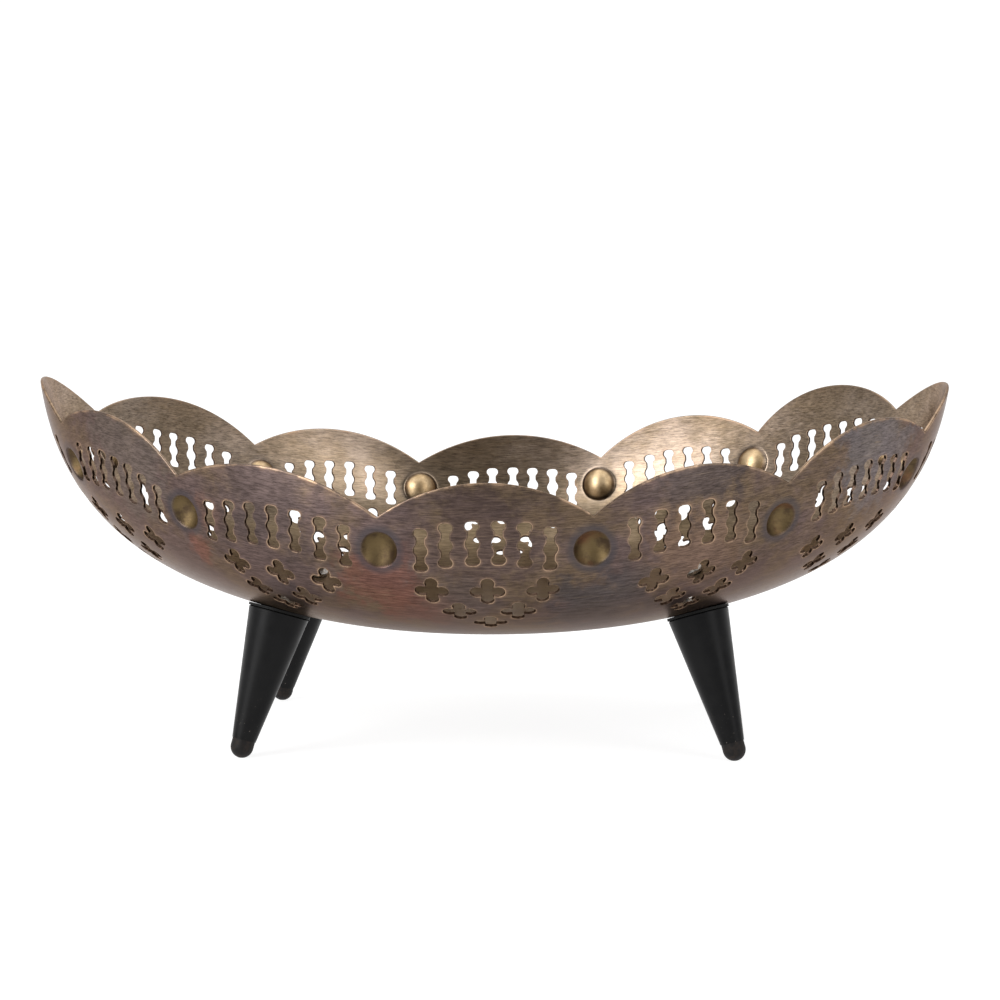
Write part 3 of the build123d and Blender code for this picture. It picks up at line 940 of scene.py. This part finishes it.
# ---------------------------------------------------------------- the object
show("pierced_bowl", bowl_mesh(), patinated_brass(), "patinated_brass", "bowl_shell")
black, pad_black, tip_black, steel = (
    satin_black(),
    rubber("pad_black", (0.003, 0.003, 0.003), (0.006, 0.006, 0.006)),
    rubber("tip_black", (0.005, 0.004, 0.004), (0.020, 0.014, 0.011)),
    brushed_steel(),
)
FINISHES = {"leg": black, "pad": pad_black, "tip": tip_black, "washer": steel, "screw": steel}
for corner in ("front_left", "front_right", "back_left", "back_right"):
    for kind, finish in FINISHES.items():
        paint(f"{kind}_{corner}", finish)


# ---------------------------------------------------------------- studio
def stage_sweep():
    """Pale floor that curves up into a backdrop."""
    front, bend_start, bend, top, half_width, bend_steps = -4.0, 1.6, 1.2, 5.0, 6.0, 16
    profile = [(front, 0.0), (bend_start, 0.0)]
    for i in range(1, bend_steps + 1):
        turn = pi / 2 * i / bend_steps
        profile.append((bend_start + bend * sin(turn), bend * (1 - cos(turn))))
    profile.append((bend_start + bend, top))
    points = [(side * half_width, y, z) for y, z in profile for side in (-1, 1)]
    faces = [(2 * i, 2 * i + 1, 2 * i + 3, 2 * i + 2) for i in range(len(profile) - 1)]
    mesh = bpy.data.meshes.new("floor")
    mesh.from_pydata(points, [], faces)
    mesh.polygons.foreach_set("use_smooth", np.ones(len(faces), bool))
    floor = bpy.data.objects.new("floor", mesh)
    bpy.context.scene.collection.objects.link(floor)
    r = Recipe("pale_floor")
    mesh.materials.append(r.finish(Base_Color=(0.30, 0.30, 0.30, 1.0), Roughness=0.9, Specular_IOR_Level=0.0,
                                   Emission_Color=(1.0, 1.0, 1.0, 1.0), Emission_Strength=0.86))


def soft_box(name, place, target, width, height, radiance):
    """Lit rectangle that faces a target and isn't seen by the camera."""
    light = bpy.data.lights.new(name, "AREA")
    light.shape = "RECTANGLE"
    light.size, light.size_y = width, height
    light.energy = radiance * pi * width * height
    holder = bpy.data.objects.new(name, light)
    holder.location = place
    holder.rotation_euler = (Vector(target) - Vector(place)).to_track_quat("-Z", "Y").to_euler()
    holder.visible_camera = False
    bpy.context.scene.collection.objects.link(holder)


def studio():
    """Two tall soft boxes beside the camera, one overhead, and a room that is dim behind the camera."""
    white = (1.0, 1.0, 1.0, 1.0)
    world = bpy.data.worlds.new("studio")
    bpy.context.scene.world = world
    world.use_nodes = True
    nodes, links = world.node_tree.nodes, world.node_tree.links
    shown = nodes.new("ShaderNodeBackground")
    shown.inputs["Color"].default_value = white
    shown.inputs["Strength"].default_value = 1.0
    room = nodes["Background"]
    room.inputs["Color"].default_value = white
    ways = nodes.new("ShaderNodeTexCoord")
    toward_front = nodes.new("ShaderNodeVectorMath")
    toward_front.operation = "DOT_PRODUCT"
    toward_front.inputs[1].default_value = (0.0, -1.0, 0.0)
    links.new(ways.outputs["Generated"], toward_front.inputs[0])
    dim = nodes.new("ShaderNodeMapRange")
    dim.interpolation_type = "SMOOTHSTEP"
    for name, value in (("From Min", 0.55), ("From Max", 0.95), ("To Min", 0.62), ("To Max", 0.30)):
        dim.inputs[name].default_value = value
    links.new(toward_front.outputs["Value"], dim.inputs["Value"])
    links.new(dim.outputs["Result"], room.inputs["Strength"])
    path = nodes.new("ShaderNodeLightPath")
    choose = nodes.new("ShaderNodeMixShader")
    links.new(path.outputs["Is Camera Ray"], choose.inputs[0])
    links.new(room.outputs[0], choose.inputs[1])
    links.new(shown.outputs[0], choose.inputs[2])
    links.new(choose.outputs[0], nodes["World Output"].inputs["Surface"])
    middle = (0, 0, 0.08)
    soft_box("top_box", (0, 0.2, 1.5), middle, 1.6, 1.4, 1.3)
    soft_box("left_box", (-0.95, -0.85, 0.62), middle, 0.75, 1.1, 6.4)
    soft_box("right_box", (0.95, -0.85, 0.62), middle, 0.6, 1.1, 3.0)
    bpy.context.scene.view_settings.view_transform = "Standard"


def camera():
    """Just above the rim, a little to the right, looking slightly down."""
    away, height = 0.8417, 0.1574
    heading, pitch, roll = radians(-2.302), radians(5.507), radians(-0.093)
    forward = Vector((sin(heading) * cos(pitch), cos(heading) * cos(pitch), -sin(pitch)))
    across = Vector((cos(heading), -sin(heading), 0))
    upward = across.cross(forward)
    right = across * cos(roll) + upward * sin(roll)
    above = upward * cos(roll) - across * sin(roll)
    data = bpy.data.cameras.new("camera")
    data.sensor_width = 36
    data.lens = 92.21
    data.shift_x = 0.0065
    holder = bpy.data.objects.new("camera", data)
    bpy.context.scene.collection.objects.link(holder)
    turn = Matrix((right, above, -forward)).transposed().to_4x4()
    place = Vector((-away * sin(heading), -away * cos(heading), height))
    holder.matrix_world = Matrix.Translation(place) @ turn
    bpy.context.scene.camera = holder


stage_sweep()
studio()
camera()
